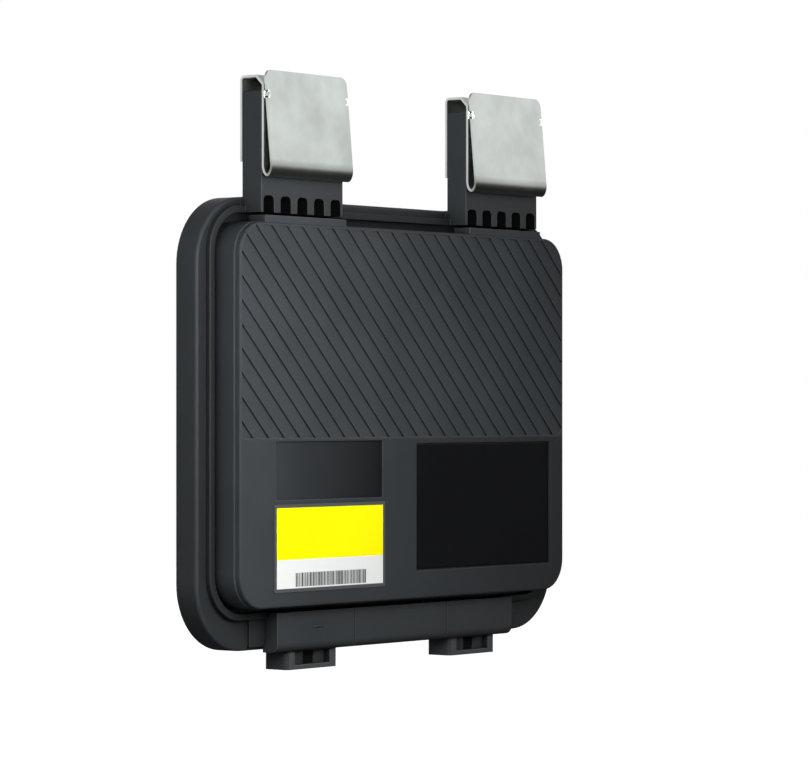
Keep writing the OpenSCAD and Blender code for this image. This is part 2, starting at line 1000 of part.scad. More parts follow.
module support_chips() {
    chip_w = core_w / 6;
    places = [-1, 0, 1];
    color("black")
        on_board(chip_share)
            for (i = places) {
                translate([i * core_w / 3, 0, -core_w / 2.5])
                    raise(board_face, board_t)
                        square([chip_w, chip_w], center = true);
            }
}

base_housing();
front_lid();
lid_seal();
cable_lug_left();
cable_lug_right();
cable_clamp_left();
cable_cover_middle();
cable_clamp_right();
frame_clip_left();
frame_clip_right();
product_label();
rating_label();
cable_seals();
lead_terminals();
circuit_board();
board_screws();
heat_spreader();
thermal_pad();
power_transistors();
power_core();
power_winding();
coupling_core();
coupling_winding();
input_capacitors();
output_capacitors();
bypass_diode();
controller_chip();
support_chips();
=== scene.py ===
# Power optimizer with two sprung frame clips, dressed over its CAD frame. Everything is in metres.
import math
import bmesh
import bpy
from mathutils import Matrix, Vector


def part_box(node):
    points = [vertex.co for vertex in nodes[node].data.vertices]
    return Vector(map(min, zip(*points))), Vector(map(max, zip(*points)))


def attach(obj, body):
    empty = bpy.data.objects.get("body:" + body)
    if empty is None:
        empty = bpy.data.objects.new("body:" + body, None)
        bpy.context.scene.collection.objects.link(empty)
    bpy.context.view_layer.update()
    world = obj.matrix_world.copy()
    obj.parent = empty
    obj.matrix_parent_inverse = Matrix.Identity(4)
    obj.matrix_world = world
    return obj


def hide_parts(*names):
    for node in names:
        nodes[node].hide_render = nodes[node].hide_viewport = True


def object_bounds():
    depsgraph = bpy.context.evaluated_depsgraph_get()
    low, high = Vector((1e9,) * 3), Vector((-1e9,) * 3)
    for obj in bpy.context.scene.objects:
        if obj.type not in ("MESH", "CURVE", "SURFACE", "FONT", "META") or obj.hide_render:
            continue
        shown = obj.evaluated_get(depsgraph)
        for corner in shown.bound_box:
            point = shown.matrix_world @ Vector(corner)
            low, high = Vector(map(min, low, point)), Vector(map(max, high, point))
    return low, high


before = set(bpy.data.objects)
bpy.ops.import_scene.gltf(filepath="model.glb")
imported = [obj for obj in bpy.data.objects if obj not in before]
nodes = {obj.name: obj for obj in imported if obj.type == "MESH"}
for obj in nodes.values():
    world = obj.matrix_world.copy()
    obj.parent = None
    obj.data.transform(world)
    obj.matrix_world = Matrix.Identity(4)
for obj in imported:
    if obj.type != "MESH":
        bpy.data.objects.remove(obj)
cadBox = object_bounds()
scene = bpy.context.scene
print("frame loaded:", len(nodes), "nodes")

# Camera, set as the photograph was taken
photoCamera = {
    "place": (-0.68764, -0.56014, 0.0049),
    "turn": -51.81,            # degrees round the upright axis
    "focalPixels": 3606.5,
    "frameWidth": 808.0,
    "horizonDrop": 19.0,       # pixels from the frame's middle down to the horizon
    "sensorWidth": 36.0,       # in millimetres
    "sight": (0.05, 60.0),     # nearest and furthest distance that it sees
}


def addCamera(values):
    data = bpy.data.cameras.new("photoCamera")
    data.sensor_width = values["sensorWidth"]
    data.lens = values["focalPixels"] / values["frameWidth"] * data.sensor_width
    data.shift_y = values["horizonDrop"] / values["frameWidth"]
    data.clip_start, data.clip_end = values["sight"]
    camera = bpy.data.objects.new("photoCamera", data)
    camera.location = values["place"]
    camera.rotation_euler = (math.radians(90), 0.0, math.radians(values["turn"]))
    scene.collection.objects.link(camera)
    scene.camera = camera


addCamera(photoCamera)
print("camera placed")


# Small helpers for node trees. A value may be a number, a colour of three numbers or another node's socket
def feed(tree, value, socket):
    if isinstance(value, bpy.types.NodeSocket):
        tree.links.new(value, socket)
    elif isinstance(value, tuple) and socket.type == "RGBA":
        socket.default_value = (*value, 1.0)
    else:
        socket.default_value = value


def addNode(tree, kind, **settings):
    node = tree.nodes.new(kind)
    for name, value in settings.items():
        setattr(node, name, value)
    return node


def noiseOn(tree, vector, scale, detail=2.0, roughness=0.5):
    noise = addNode(tree, "ShaderNodeTexNoise")
    for name, value in (("Vector", vector), ("Scale", scale), ("Detail", detail), ("Roughness", roughness)):
        feed(tree, value, noise.inputs[name])
    return noise.outputs["Fac"]


def spread(tree, source, low, high, start=0.35, end=0.65):
    ranged = addNode(tree, "ShaderNodeMapRange")
    for name, value in (("From Min", start), ("From Max", end), ("To Min", low), ("To Max", high)):
        feed(tree, value, ranged.inputs[name])
    feed(tree, source, ranged.inputs["Value"])
    return ranged.outputs["Result"]


def maths(tree, operation, *values):
    node = addNode(tree, "ShaderNodeMath", operation=operation)
    for value, socket in zip(values, node.inputs):
        feed(tree, value, socket)
    return node.outputs[0]


def joinAxes(tree, x, y, z):
    joined = addNode(tree, "ShaderNodeCombineXYZ")
    for value, socket in zip((x, y, z), joined.inputs):
        feed(tree, value, socket)
    return joined.outputs["Vector"]


def splitAxes(tree, vector):
    split = addNode(tree, "ShaderNodeSeparateXYZ")
    feed(tree, vector, split.inputs["Vector"])
    return split.outputs


def blendColours(tree, factor, first, second):
    blend = addNode(tree, "ShaderNodeMix", data_type="RGBA")
    for name, value in (("A", first), ("B", second), ("Factor", factor)):
        feed(tree, value, blend.inputs[name])
    return blend.outputs["Result"]


def scaleColour(tree, colour, factor):
    scaled = addNode(tree, "ShaderNodeVectorMath", operation="SCALE")
    feed(tree, colour, scaled.inputs[0])
    feed(tree, factor, scaled.inputs["Scale"])
    return scaled.outputs["Vector"]


def objectPlace(tree):
    return addNode(tree, "ShaderNodeTexCoord").outputs["Object"]


def newGroup(name, kind, inputs, outputs):
    group = bpy.data.node_groups.new(name, kind)
    for way, sockets in (("INPUT", inputs), ("OUTPUT", outputs)):
        for label, socketKind in sockets.items():
            group.interface.new_socket(label, in_out=way, socket_type="NodeSocket" + socketKind)
    return group, addNode(group, "NodeGroupInput").outputs, addNode(group, "NodeGroupOutput").inputs


def newMaterial(name, gloss=None):
    material = bpy.data.materials.new(name)
    material.use_nodes = True
    tree = material.node_tree
    shader = tree.nodes["Principled BSDF"]
    if gloss is not None:
        shader.inputs["Specular IOR Level"].default_value = gloss
    return material, tree, shader


def addBump(tree, shader, height, strength, distance, normal=None):
    bump = addNode(tree, "ShaderNodeBump")
    for name, value in (("Height", height), ("Strength", strength), ("Distance", distance)):
        feed(tree, value, bump.inputs[name])
    if normal is not None:
        feed(tree, normal, bump.inputs["Normal"])
    feed(tree, bump.outputs["Normal"], shader.inputs["Normal"])


hardBorder = 0.00005           # softness of a mask whose border should look sharp


# Mask that is 1 between two object places and 0 outside them, with a soft border
def buildWindowMask():
    given = {"Vector": "Vector", "Low": "Vector", "High": "Vector", "Softness": "Float"}
    group, into, out = newGroup("windowMask", "ShaderNodeTree", given, {"Mask": "Float"})
    place, low, high = (splitAxes(group, into[name]) for name in ("Vector", "Low", "High"))
    mask = None
    for axis in "XYZ":
        inner = maths(group, "MINIMUM",
                      maths(group, "SUBTRACT", place[axis], low[axis]),
                      maths(group, "SUBTRACT", high[axis], place[axis]))
        mask = inner if mask is None else maths(group, "MINIMUM", mask, inner)
    feed(group, spread(group, mask, 0.0, 1.0, 0.0, into["Softness"]), out["Mask"])
    return group


windowMask = buildWindowMask()


def windowOn(tree, low, high, softness=hardBorder):
    mask = addNode(tree, "ShaderNodeGroup", node_tree=windowMask)
    given = {"Vector": objectPlace(tree), "Low": tuple(low), "High": tuple(high), "Softness": softness}
    for name, value in given.items():
        feed(tree, value, mask.inputs[name])
    return mask.outputs["Mask"]


# Grain of a textured mould, shared by every plastic piece
def buildMouldGrain():
    given = {"Vector": "Vector", "Grain Scale": "Float", "Cloud Scale": "Float", "Tone": "Float",
             "Base": "Color", "Roughness Low": "Float", "Roughness High": "Float"}
    made = {"Color": "Color", "Roughness": "Float", "Height": "Float"}
    grainDetail, cloudDetail = 3.0, 4.0
    noiseSpan = (0.3, 0.7)     # values of the noise that reach both ends of a range
    group, into, out = newGroup("mouldGrain", "ShaderNodeTree", given, made)
    grain = noiseOn(group, into["Vector"], into["Grain Scale"], grainDetail)
    cloud = noiseOn(group, into["Vector"], into["Cloud Scale"], cloudDetail)
    darkest = maths(group, "SUBTRACT", 1.0, into["Tone"])
    palest = maths(group, "ADD", 1.0, into["Tone"])
    tone = spread(group, cloud, darkest, palest, *noiseSpan)
    feed(group, scaleColour(group, into["Base"], tone), out["Color"])
    roughness = spread(group, grain, into["Roughness Low"], into["Roughness High"], *noiseSpan)
    feed(group, roughness, out["Roughness"])
    feed(group, grain, out["Height"])
    return group


mouldGrain = buildMouldGrain()

plasticFinishes = {
    "housingPlastic": {"base": (0.034, 0.038, 0.041), "rough": (0.42, 0.54), "gloss": 0.1,
                       "grainSize": 0.0005, "bump": 0.12, "tone": 0.1},
    "lidPlastic": {"base": (0.044, 0.0488, 0.0532), "rough": (0.48, 0.6), "gloss": 0.04,
                   "grainSize": 0.0005, "bump": 0.18, "tone": 0.1},
    "coverPlastic": {"base": (0.036, 0.04, 0.043), "rough": (0.44, 0.56), "gloss": 0.08,
                     "grainSize": 0.0005, "bump": 0.14, "tone": 0.1},
    "ratingFilm": {"base": (0.004, 0.0042, 0.005), "rough": (0.5, 0.6), "gloss": 0.04,
                   "grainSize": 0.001, "bump": 0.03, "tone": 0.15},
    "sealRubber": {"base": (0.012, 0.012, 0.012), "rough": (0.6, 0.75), "gloss": 0.3,
                   "grainSize": 0.0008, "bump": 0.15, "tone": 0.1},
    "chipResin": {"base": (0.015, 0.015, 0.016), "rough": (0.5, 0.6), "gloss": 0.4,
                  "grainSize": 0.0006, "bump": 0.1, "tone": 0.1},
    "ferrite": {"base": (0.05, 0.05, 0.055), "rough": (0.6, 0.75), "gloss": 0.4,
                "grainSize": 0.0009, "bump": 0.2, "tone": 0.2},
    "capacitorResin": {"base": (0.3, 0.12, 0.04), "rough": (0.35, 0.45), "gloss": 0.5,
                       "grainSize": 0.001, "bump": 0.06, "tone": 0.1},
    "padSilicone": {"base": (0.22, 0.36, 0.5), "rough": (0.6, 0.75), "gloss": 0.4,
                    "grainSize": 0.0008, "bump": 0.1, "tone": 0.08},
    "boardResin": {"base": (0.012, 0.11, 0.035), "rough": (0.3, 0.42), "gloss": 0.5,
                   "grainSize": 0.002, "bump": 0.05, "tone": 0.25},
}

# What every plastic shares: edges made paler by a painted highlight, and nooks darkened by painted shade
mouldedSurface = {
    "cloudScale": 45.0,
    "bumpDistance": 0.00015,
    "edgeRadius": 0.0004,
    "edgeSamples": 6,
    "edgeHighlightTone": (1.8, 1.0),
    "edgeHighlightTurn": (0.85, 0.995),  # cosine between the true and the rounded normal
    "nookDistance": 0.011,
    "nookSamples": 8,
    "nookTone": (0.3, 1.0),
    "nookOpening": (0.3, 0.9),
}


def plasticMaterial(name, finish):
    shared = mouldedSurface
    material, tree, shader = newMaterial(name, finish["gloss"])
    grain = addNode(tree, "ShaderNodeGroup", node_tree=mouldGrain)
    given = {"Vector": objectPlace(tree), "Grain Scale": 1.0 / finish["grainSize"],
             "Cloud Scale": shared["cloudScale"], "Tone": finish["tone"], "Base": finish["base"],
             "Roughness Low": finish["rough"][0], "Roughness High": finish["rough"][1]}
    for label, value in given.items():
        feed(tree, value, grain.inputs[label])
    # Painted highlight: the colour is up to 1.8 times paler at edges, where the rounded normal turns from
    # the true one
    rounded = addNode(tree, "ShaderNodeBevel", samples=shared["edgeSamples"])
    feed(tree, shared["edgeRadius"], rounded.inputs["Radius"])
    surface = addNode(tree, "ShaderNodeNewGeometry")
    turn = addNode(tree, "ShaderNodeVectorMath", operation="DOT_PRODUCT")
    feed(tree, rounded.outputs["Normal"], turn.inputs[0])
    feed(tree, surface.outputs["Normal"], turn.inputs[1])
    paintedEdgeHighlight = spread(tree, turn.outputs["Value"], *shared["edgeHighlightTone"], *shared["edgeHighlightTurn"])
    # Painted shade: ambient occlusion darkens the colour in nooks, grooves and between parts
    nook = addNode(tree, "ShaderNodeAmbientOcclusion", samples=shared["nookSamples"])
    feed(tree, shared["nookDistance"], nook.inputs["Distance"])
    depth = spread(tree, nook.outputs["AO"], *shared["nookTone"], *shared["nookOpening"])
    tone = maths(tree, "MULTIPLY", depth, paintedEdgeHighlight)
    feed(tree, scaleColour(tree, grain.outputs["Color"], tone), shader.inputs["Base Color"])
    feed(tree, grain.outputs["Roughness"], shader.inputs["Roughness"])
    normal = rounded.outputs["Normal"]
    addBump(tree, shader, grain.outputs["Height"], finish["bump"], shared["bumpDistance"], normal)
    return material


metalFinishes = {
    "clipSteel": {"base": (0.72, 0.765, 0.725), "dark": (0.5, 0.535, 0.505), "rough": (0.28, 0.34),
                  "cloud": 95.0, "bump": 0.05},
    "tinnedBrass": {"base": (0.75, 0.68, 0.5), "dark": (0.6, 0.53, 0.38), "rough": (0.3, 0.42),
                    "cloud": 200.0, "bump": 0.05},
    "screwSteel": {"base": (0.62, 0.62, 0.6), "dark": (0.5, 0.5, 0.48), "rough": (0.3, 0.42),
                   "cloud": 300.0, "bump": 0.05},
    "spreaderAluminium": {"base": (0.76, 0.77, 0.78), "dark": (0.66, 0.67, 0.68), "rough": (0.32, 0.44),
                          "cloud": 90.0, "bump": 0.05},
    "canAluminium": {"base": (0.74, 0.75, 0.77), "dark": (0.62, 0.63, 0.65), "rough": (0.22, 0.32),
                     "cloud": 200.0, "bump": 0.03},
    "copperWire": {"base": (0.72, 0.3, 0.14), "dark": (0.5, 0.18, 0.08), "rough": (0.25, 0.35),
                   "cloud": 700.0, "bump": 0.1},
}

# What every metal shares: dull clouds, and brush lines that run upright
brushedSurface = {
    "cloudDetail": 3.0,
    "cloudRoughness": 0.55,
    "cloudSpan": (0.25, 0.7),
    "brushScale": 5200.0,
    "brushStretch": (1.0, 1.0, 0.06),
    "bumpDistance": 0.0001,
}


def metalMaterial(name, finish):
    shared = brushedSurface
    material, tree, shader = newMaterial(name)
    place = objectPlace(tree)
    cloud = noiseOn(tree, place, finish["cloud"], shared["cloudDetail"], shared["cloudRoughness"])
    mottle = spread(tree, cloud, 0.0, 1.0, *shared["cloudSpan"])
    feed(tree, blendColours(tree, mottle, finish["dark"], finish["base"]), shader.inputs["Base Color"])
    feed(tree, spread(tree, cloud, *finish["rough"]), shader.inputs["Roughness"])
    stretched = addNode(tree, "ShaderNodeMapping")
    feed(tree, place, stretched.inputs["Vector"])
    feed(tree, shared["brushStretch"], stretched.inputs["Scale"])
    brushed = noiseOn(tree, stretched.outputs["Vector"], shared["brushScale"])
    addBump(tree, shader, brushed, finish["bump"], shared["bumpDistance"])
    shader.inputs["Metallic"].default_value = 1.0
    return material


labelFinish = {
    "yellow": (1.0, 0.93, 0.0),
    "white": (0.8, 0.81, 0.8),
    "film": (0.07, 0.076, 0.08),
    "margin": 0.0008,
    "whiteHeight": 0.0075,
    "rough": (0.3, 0.4),
    "gloss": 0.12,
    "fibreScale": 900.0,
    "fibreDetail": 3.0,
    "bump": 0.03,
    "bumpDistance": 0.0001,
}


def labelMaterial(finish):
    material, tree, shader = newMaterial("labelFilm", finish["gloss"])
    low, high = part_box("product_label")
    margin = finish["margin"]
    beyond = 1.0               # past the label on every side
    printed = windowOn(tree, (low[0] + margin, -beyond, low[2] + margin),
                       (high[0] - margin, beyond, high[2] - margin))
    upper = windowOn(tree, (-beyond, -beyond, low[2] + finish["whiteHeight"]), (beyond, beyond, beyond))
    fields = blendColours(tree, upper, finish["white"], finish["yellow"])
    feed(tree, blendColours(tree, printed, finish["film"], fields), shader.inputs["Base Color"])
    fibre = noiseOn(tree, objectPlace(tree), finish["fibreScale"], finish["fibreDetail"])
    feed(tree, spread(tree, fibre, *finish["rough"]), shader.inputs["Roughness"])
    addBump(tree, shader, fibre, finish["bump"], finish["bumpDistance"])
    return material


# Light and shade painted into the colour of some places. Each is a box measured from its node's low corner,
# and its two tones multiply the colour at the box's left and right end: below 1 paints shade, above 1
# paints light
paintedShadeAndLight = {
    # Painted reflection and shade: the bare recess darkens strongly from its left end to its right
    "bareRecess": {
        "finish": "lidPlastic", "nodes": ["front_lid"], "softness": hardBorder,
        "low": (0.0128, 0.00015, 0.025), "high": (0.0524, 0.00085, 0.0387),
        "tones": (0.85, 0.25), "rough": 0.3,
    },
    # Painted shade: the lid's plain field darkens from left to right, as the light falls off
    "plainField": {
        "finish": "lidPlastic", "nodes": ["front_lid"], "softness": 0.0005,
        "low": (-0.0066, -0.00115, -0.01725), "high": (0.1334, 0.00125, 0.03935),
        "tones": (0.96, 0.62), "rough": 0.54,
    },
    # Painted shade: the left arm's slots are made nearly black
    "leftArmSlots": {
        "finish": "housingPlastic", "nodes": ["base_housing"], "softness": hardBorder,
        "low": (0.01605, 0.00005, 0.1007), "high": (0.04435, 0.006, 0.1072),
        "tones": (0.02, 0.02), "rough": 0.95,
    },
    # Painted shade: the right arm's slots are made nearly black
    "rightArmSlots": {
        "finish": "housingPlastic", "nodes": ["base_housing"], "softness": hardBorder,
        "low": (0.09405, 0.00005, 0.1007), "high": (0.12235, 0.006, 0.1072),
        "tones": (0.02, 0.02), "rough": 0.95,
    },
    # Painted shade: the ring and the flange's front are darkened where the lid shades them
    "ringAndFlange": {
        "finish": "housingPlastic", "nodes": ["base_housing"], "softness": hardBorder,
        "low": (0.0007, 0.00485, 0.0007), "high": (0.1377, 0.00645, 0.1047),
        "tones": (0.68, 0.68), "rough": 0.5,
    },
    # Painted light: the lug fronts are made paler than their finish, as if lit beneath the cable bar
    "lugFronts": {
        "finish": "coverPlastic", "nodes": ["cable_lug_left", "cable_lug_right"], "softness": hardBorder,
        "low": (-0.0014, -0.0003, -0.0007), "high": (0.0202, 0.00015, 0.0042),
        "tones": (1.7, 1.7), "rough": 0.5,
    },
    # Painted shade: the lug windows are made nearly black
    "lugWindows": {
        "finish": "coverPlastic", "nodes": ["cable_lug_left", "cable_lug_right"], "softness": hardBorder,
        "low": (0.0027, 0.00005, 0.0011), "high": (0.0157, 0.0017, 0.0043),
        "tones": (0.1, 0.1), "rough": 0.9,
    },
    # Painted shade: a dark band over each clip's bend at its foot
    "clipFeet": {
        "finish": "clipSteel", "nodes": ["frame_clip_left", "frame_clip_right"], "softness": 0.0022,
        "low": (-0.005, -0.00705, -0.00719), "high": (0.0346, 0.00245, 0.00401),
        "tones": (0.4, 0.4), "rough": 0.34,
    },
}


def shadePlace(material, low, high, values):
    tree = material.node_tree
    shader = tree.nodes["Principled BSDF"]
    inside = windowOn(tree, low, high, values["softness"])
    across = splitAxes(tree, objectPlace(tree))["X"]
    tone = spread(tree, across, *values["tones"], low[0], high[0])
    colour = shader.inputs["Base Color"].links[0].from_socket
    shaded = blendColours(tree, inside, colour, scaleColour(tree, colour, tone))
    feed(tree, shaded, shader.inputs["Base Color"])
    rough = addNode(tree, "ShaderNodeMix", data_type="FLOAT")
    before = shader.inputs["Roughness"].links[0].from_socket
    for name, value in (("Factor", inside), ("A", before), ("B", values["rough"])):
        feed(tree, value, rough.inputs[name])
    feed(tree, rough.outputs["Result"], shader.inputs["Roughness"])


# Painted shadow: a darker line at the foot of each step of the lid's striped field, measured from the lid's
# low corner
stripeShadowLines = {
    "low": (0.0008, -0.00115, 0.0395),
    "high": (0.126, 0.00085, 0.0888),
    "pitch": 0.00395,
    "firstStep": 0.0275,       # from the lid's corner, square to the stripes
    "widthShare": 0.1,         # line's width as a share of the pitch
    "tone": 0.5,
}


def paintStripeShadows(material, values):
    tree = material.node_tree
    shader = tree.nodes["Principled BSDF"]
    corner = Vector(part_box("front_lid")[0])
    place = splitAxes(tree, objectPlace(tree))
    slant = math.sqrt(0.5)     # the stripes run at 45 degrees
    firstStep = (corner.x + corner.z) * slant + values["firstStep"]
    across = maths(tree, "MULTIPLY", maths(tree, "ADD", place["X"], place["Z"]), slant)
    turns = maths(tree, "DIVIDE", maths(tree, "SUBTRACT", across, firstStep), values["pitch"])
    lineStart = 1.0 - values["widthShare"]
    line = spread(tree, maths(tree, "FRACT", turns), 0.0, 1.0, lineStart, (1.0 + lineStart) / 2)
    field = windowOn(tree, corner + Vector(values["low"]), corner + Vector(values["high"]))
    mask = maths(tree, "MULTIPLY", line, field)
    colour = shader.inputs["Base Color"].links[0].from_socket
    shaded = blendColours(tree, mask, colour, scaleColour(tree, colour, values["tone"]))
    feed(tree, shaded, shader.inputs["Base Color"])


finishes = {name: plasticMaterial(name, finish) for name, finish in plasticFinishes.items()}
finishes.update({name: metalMaterial(name, finish) for name, finish in metalFinishes.items()})
finishes["labelFilm"] = labelMaterial(labelFinish)
for shaded in paintedShadeAndLight.values():
    for node in shaded["nodes"]:
        corner = Vector(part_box(node)[0])
        lowPlace, highPlace = (corner + Vector(shaded[end]) for end in ("low", "high"))
        shadePlace(finishes[shaded["finish"]], lowPlace, highPlace, shaded)
paintStripeShadows(finishes["lidPlastic"], stripeShadowLines)
print("materials made:", len(finishes))

finishOfNode = {
    "base_housing": "housingPlastic", "front_lid": "lidPlastic", "lid_seal": "sealRubber",
    "cable_lug_left": "coverPlastic", "cable_lug_right": "coverPlastic",
    "cable_clamp_left": "coverPlastic", "cable_cover_middle": "coverPlastic",
    "cable_clamp_right": "coverPlastic", "frame_clip_left": "clipSteel", "frame_clip_right": "clipSteel",
    "product_label": "labelFilm", "rating_label": "ratingFilm", "cable_seals": "sealRubber",
    "lead_terminals": "tinnedBrass", "circuit_board": "boardResin", "board_screws": "screwSteel",
    "heat_spreader": "spreaderAluminium", "thermal_pad": "padSilicone", "power_transistors": "chipResin",
    "power_core": "ferrite", "power_winding": "copperWire", "coupling_core": "ferrite",
    "coupling_winding": "copperWire", "input_capacitors": "canAluminium",
    "output_capacitors": "capacitorResin", "bypass_diode": "chipResin", "controller_chip": "chipResin",
    "support_chips": "chipResin",
}


def dressNodes(choices):
    for name, finish in choices.items():
        data = nodes[name].data
        if not data.materials:
            data.materials.append(finishes[finish])
        for index in range(len(data.materials)):
            data.materials[index] = finishes[finish]


dressNodes(finishOfNode)
print("nodes dressed")


# Small helpers for the pieces that the solids don't have
def addPiece(name, mesh, finish=None):
    if finish is not None:
        mesh.materials.append(finishes[finish])
    piece = bpy.data.objects.new(name, mesh)
    scene.collection.objects.link(piece)
    return piece


def addBlock(shape, middle, size):
    for vertex in bmesh.ops.create_cube(shape, size=1.0)["verts"]:
        vertex.co = Vector(middle) + vertex.co * Vector(size)


def meshOf(name, shape):
    mesh = bpy.data.meshes.new(name)
    shape.to_mesh(mesh)
    shape.free()
    return mesh


# Plain bars printed on the label's white field, with their reach measured from the label's sides and foot
labelBars = {
    "insets": (0.0075, 0.0073),
    "heights": (0.00115, 0.0044),
    "count": 46,
    "widths": (0.4, 0.8),      # narrowest and widest bar as a share of the pitch
    "thickness": 0.00002,
    "seed": 7,
    "ink": (0.02, 0.02, 0.022),
    "wornInk": (0.04, 0.04, 0.044),
    "wornScale": 2500.0,
    "rough": (0.45, 0.6),
    "gloss": 0.1,
}


def printInk(values):
    material, tree, shader = newMaterial("printInk", values["gloss"])
    worn = noiseOn(tree, objectPlace(tree), values["wornScale"])
    share = spread(tree, worn, 0.0, 1.0)
    feed(tree, blendColours(tree, share, values["ink"], values["wornInk"]), shader.inputs["Base Color"])
    feed(tree, spread(tree, worn, *values["rough"]), shader.inputs["Roughness"])
    return material


def buildPrintedBars():
    given = {"Left": "Float", "Right": "Float", "Low": "Float", "High": "Float", "Front": "Float",
             "Thickness": "Float", "Narrow": "Float", "Wide": "Float", "Count": "Int", "Seed": "Int",
             "Material": "Material"}
    tree, into, out = newGroup("printedBars", "GeometryNodeTree", given, {"Geometry": "Geometry"})
    pitch = maths(tree, "DIVIDE", maths(tree, "SUBTRACT", into["Right"], into["Left"]), into["Count"])
    height = maths(tree, "SUBTRACT", into["High"], into["Low"])
    firstMiddle = maths(tree, "ADD", into["Left"], maths(tree, "MULTIPLY", pitch, 0.5))
    depth = maths(tree, "SUBTRACT", into["Front"], maths(tree, "MULTIPLY", into["Thickness"], 0.5))
    middle = maths(tree, "MULTIPLY", maths(tree, "ADD", into["High"], into["Low"]), 0.5)
    row = addNode(tree, "GeometryNodeMeshLine")
    feed(tree, into["Count"], row.inputs["Count"])
    feed(tree, joinAxes(tree, firstMiddle, depth, middle), row.inputs["Start Location"])
    feed(tree, joinAxes(tree, pitch, 0.0, 0.0), row.inputs["Offset"])
    bar = addNode(tree, "GeometryNodeMeshCube")
    feed(tree, joinAxes(tree, pitch, into["Thickness"], height), bar.inputs["Size"])
    widths = addNode(tree, "FunctionNodeRandomValue", data_type="FLOAT")
    for name, value in (("Min", "Narrow"), ("Max", "Wide"), ("Seed", "Seed")):
        feed(tree, into[value], widths.inputs[name])
    placed = addNode(tree, "GeometryNodeInstanceOnPoints")
    feed(tree, row.outputs["Mesh"], placed.inputs["Points"])
    feed(tree, bar.outputs["Mesh"], placed.inputs["Instance"])
    feed(tree, joinAxes(tree, widths.outputs["Value"], 1.0, 1.0), placed.inputs["Scale"])
    real = addNode(tree, "GeometryNodeRealizeInstances")
    feed(tree, placed.outputs["Instances"], real.inputs["Geometry"])
    inked = addNode(tree, "GeometryNodeSetMaterial")
    feed(tree, real.outputs["Geometry"], inked.inputs["Geometry"])
    feed(tree, into["Material"], inked.inputs["Material"])
    feed(tree, inked.outputs["Geometry"], out["Geometry"])
    return tree


def addLabelBars(values):
    low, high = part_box("product_label")
    base = bpy.data.objects.new("labelBarsBase", bpy.data.meshes.new("labelBarsBase"))
    scene.collection.objects.link(base)
    modifier = base.modifiers.new("printedBars", "NODES")
    modifier.node_group = buildPrintedBars()
    wanted = {
        "Left": low[0] + values["insets"][0], "Right": high[0] - values["insets"][1],
        "Low": low[2] + values["heights"][0], "High": low[2] + values["heights"][1],
        "Front": low[1], "Thickness": values["thickness"],
        "Narrow": values["widths"][0], "Wide": values["widths"][1],
        "Count": values["count"], "Seed": values["seed"], "Material": printInk(values),
    }
    for item in modifier.node_group.interface.items_tree:
        if item.in_out == "INPUT":
            modifier[item.identifier] = wanted[item.name]
    bpy.context.view_layer.update()
    evaluated = base.evaluated_get(bpy.context.evaluated_depsgraph_get())
    mesh = bpy.data.meshes.new_from_object(evaluated)
    mesh.name = "labelBars"
    bpy.data.objects.remove(base)
    bars = addPiece("labelBars", mesh)
    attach(bars, "root")
    print("label bars:", len(mesh.polygons), "faces")


addLabelBars(labelBars)

# Short raised bar moulded on the left cable cover
coverMark = {
    "middle": (0.01495, 0.00565),  # from the cover's low corner
    "width": 0.0045,
    "height": 0.0007,
    "rise": 0.00015,
    "sunk": 0.0001,
    "bevel": 0.0001,
    "bevelSteps": 2,
}


def addCoverMark(values):
    left, front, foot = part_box("cable_clamp_left")[0]
    across, up = values["middle"]
    shape = bmesh.new()
    addBlock(shape, (left + across, front - (values["rise"] - values["sunk"]) / 2, foot + up),
             (values["width"], values["rise"] + values["sunk"], values["height"]))
    bmesh.ops.bevel(shape, geom=list(shape.edges), offset=values["bevel"],
                    segments=values["bevelSteps"], affect="EDGES")
    mark = addPiece("coverMark", meshOf("coverMark", shape), "coverPlastic")
    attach(mark, "root")
    print("cover mark made")


addCoverMark(coverMark)

# Clips with a straight flap, lower notches and a tooth in each. The solids' flap has a crease at its
# notches. A pair is a depth in front of the origin and a height
clipForm = {
    "nodes": {"sprungClipLeft": "frame_clip_left", "sprungClipRight": "frame_clip_right"},
    "behind": 0.0205,          # the flap lies in front of this depth
    "foot": (0.02265, 0.0599),
    "crease": (0.02085, 0.079),
    "top": (0.02095, 0.0819),
    "lean": 0.00205,           # of the straight flap, from its foot to its top
    "notch": (0.0783, 0.0797),       # heights of its foot and head
    "lowerNotch": (0.0753, 0.0771),
    "tooth": (0.0007, 0.0009),       # width and height
    "toothInset": 0.0005,
    "toothRear": 0.0202,
    "hair": 0.00001,           # slack where heights are compared
    "weld": 0.000001,
    "sharpAngle": 28.0,
}


